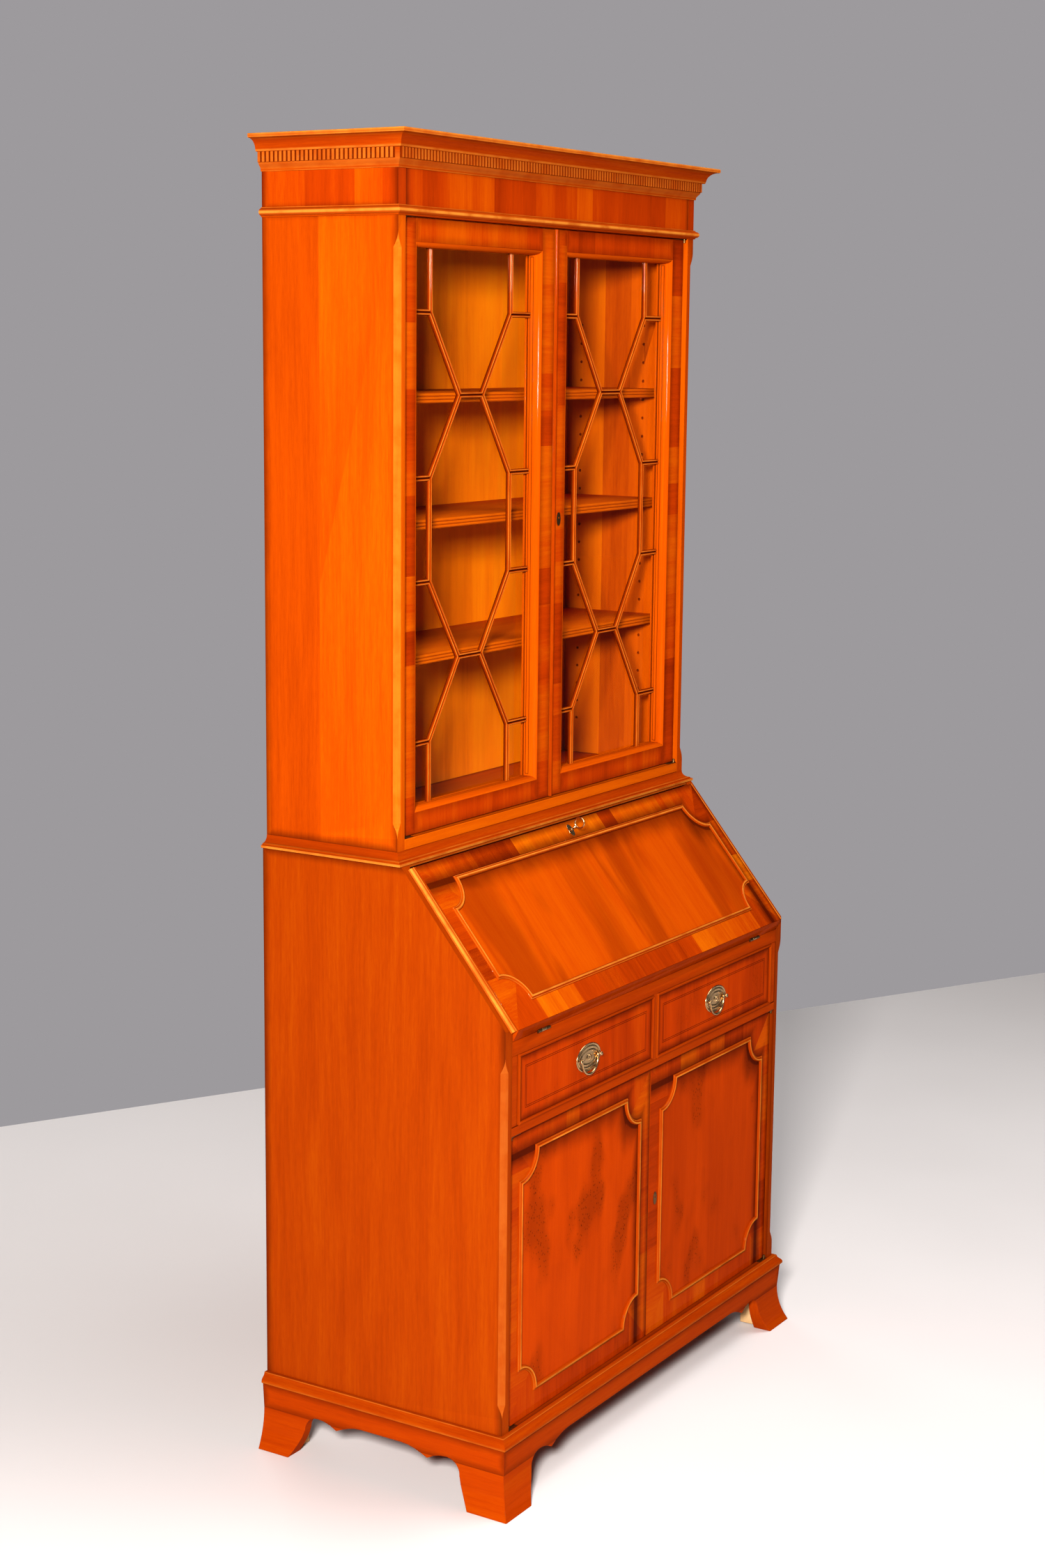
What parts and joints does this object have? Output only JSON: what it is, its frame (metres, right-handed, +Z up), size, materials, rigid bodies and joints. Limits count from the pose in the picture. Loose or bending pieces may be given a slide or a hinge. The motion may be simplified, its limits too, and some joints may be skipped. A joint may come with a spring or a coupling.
{
  "type": "secretary bookcase desk",
  "caption": "Glazed bookcase on a fall-front writing desk with drawers, pull-out fall supports, a cupboard with moulded doors and bracket feet.",
  "frame": {"origin": "centre of the bounding box at floor level", "axes": "+X to the right seen from the front, +Y to the back, +Z up"},
  "size_m": [0.96, 0.472, 2.05],
  "materials": {
    "brass": "aged polished brass",
    "glass": "clear polished glass",
    "catch_plastic": "moulded",
    "back_veneer": "satin lacquer",
    "secondary_wood": "bare planed",
    "side_veneer": "figured veneer, gloss lacquer",
    "front_veneer": "burr and crossbanded veneer, gloss lacquer",
    "inner_wood": "satin lacquer",
    "moulding_wood": "gloss lacquer, rubbed edges"
  },
  "bodies": {
    "cabinet": {"upper_side_left": "side_veneer", "upper_side_right": "side_veneer", "upper_bottom_board": "inner_wood", "upper_top_board": "secondary_wood", "upper_back_panel": "back_veneer", "frieze_board": "moulding_wood", "frieze_bead": "moulding_wood", "dentil_band": "moulding_wood", "cornice_moulding": "moulding_wood", "bookcase_shelves": "inner_wood", "shelf_pins": "brass", "door_catches": "catch_plastic", "hinge_plates": "brass", "waist_moulding": "moulding_wood", "lower_top_board": "secondary_wood", "lower_side_left": "side_veneer", "lower_side_right": "side_veneer", "lower_bottom_board": "secondary_wood", "lower_back_panel": "back_veneer", "front_rails": "moulding_wood", "dust_board": "secondary_wood", "writing_bed": "inner_wood", "pigeonhole_boards": "inner_wood", "cupboard_shelf": "inner_wood", "base_moulding": "moulding_wood", "plinth_front": "moulding_wood", "plinth_side_left": "side_veneer", "plinth_side_right": "side_veneer", "foot_blocks": "secondary_wood"},
    "upper_door_left": {"upper_door_left_frame": "front_veneer", "upper_door_left_bars": "moulding_wood", "upper_door_left_glass": "glass", "upper_door_left_hinges": "brass"},
    "upper_door_right": {"upper_door_right_frame": "front_veneer", "upper_door_right_bars": "moulding_wood", "upper_door_right_glass": "glass", "upper_door_right_bead": "moulding_wood", "upper_door_right_brassware": "brass"},
    "lower_door_left": {"lower_door_left_panel": "front_veneer", "lower_door_left_moulding": "moulding_wood", "lower_door_left_hinges": "brass"},
    "lower_door_right": {"lower_door_right_panel": "front_veneer", "lower_door_right_moulding": "moulding_wood", "lower_door_right_brassware": "brass"},
    "fall": {"fall_panel": "front_veneer", "fall_moulding": "moulding_wood", "fall_brassware": "brass"},
    "key": {"fall_key": "brass"},
    "drawer_left": {"drawer_left_front": "front_veneer", "drawer_left_box": "secondary_wood", "drawer_left_plate": "brass"},
    "bail_left": {"drawer_left_bail": "brass"},
    "drawer_right": {"drawer_right_front": "front_veneer", "drawer_right_box": "secondary_wood", "drawer_right_plate": "brass"},
    "bail_right": {"drawer_right_bail": "brass"},
    "loper_left": {"loper_left": "inner_wood"},
    "loper_right": {"loper_right": "inner_wood"},
    "small_drawer_left": {"small_drawer_left": "inner_wood"},
    "small_drawer_right": {"small_drawer_right": "inner_wood"}
  },
  "joints": [
    {"name": "upper_door_left_hinge", "type": "hinge", "parent": "cabinet", "child": "upper_door_left", "pos_m": [-0.422, -0.005, 1.018], "axis": [0, 0, -1], "range_deg": [0, 90]},
    {"name": "upper_door_right_hinge", "type": "hinge", "parent": "cabinet", "child": "upper_door_right", "pos_m": [0.422, -0.005, 1.018], "axis": [0, 0, 1], "range_deg": [0, 90]},
    {"name": "lower_door_left_hinge", "type": "hinge", "parent": "cabinet", "child": "lower_door_left", "pos_m": [-0.4315, -0.207, 0.126], "axis": [0, 0, -1], "range_deg": [0, 90]},
    {"name": "lower_door_right_hinge", "type": "hinge", "parent": "cabinet", "child": "lower_door_right", "pos_m": [0.4315, -0.207, 0.126], "axis": [0, 0, 1], "range_deg": [0, 90]},
    {"name": "fall_hinge", "type": "hinge", "parent": "cabinet", "child": "fall", "pos_m": [0, -0.211, 0.737], "axis": [1, 0, 0], "range_deg": [0, 129.7]},
    {"name": "key_turn", "type": "hinge", "parent": "fall", "child": "key", "pos_m": [0, -0.04522, 0.96639], "axis": [0, -0.7695, 0.6387], "range_deg": [0, 180]},
    {"name": "drawer_left_slide", "type": "slide", "parent": "cabinet", "child": "drawer_left", "axis": [0, -1, 0], "range_m": [0, 0.26]},
    {"name": "drawer_right_slide", "type": "slide", "parent": "cabinet", "child": "drawer_right", "axis": [0, -1, 0], "range_m": [0, 0.26]},
    {"name": "bail_left_swing", "type": "hinge", "parent": "drawer_left", "child": "bail_left", "pos_m": [-0.21175, -0.2135, 0.65935], "axis": [-1, 0, 0], "range_deg": [0, 90]},
    {"name": "bail_right_swing", "type": "hinge", "parent": "drawer_right", "child": "bail_right", "pos_m": [0.21175, -0.2135, 0.65935], "axis": [-1, 0, 0], "range_deg": [0, 90]},
    {"name": "loper_left_slide", "type": "slide", "parent": "cabinet", "child": "loper_left", "axis": [0, -1, 0], "range_m": [0, 0.25]},
    {"name": "loper_right_slide", "type": "slide", "parent": "cabinet", "child": "loper_right", "axis": [0, -1, 0], "range_m": [0, 0.25]},
    {"name": "small_drawer_left_slide", "type": "slide", "parent": "cabinet", "child": "small_drawer_left", "axis": [0, -1, 0], "range_m": [0, 0.12]},
    {"name": "small_drawer_right_slide", "type": "slide", "parent": "cabinet", "child": "small_drawer_right", "axis": [0, -1, 0], "range_m": [0, 0.12]}
  ]
}
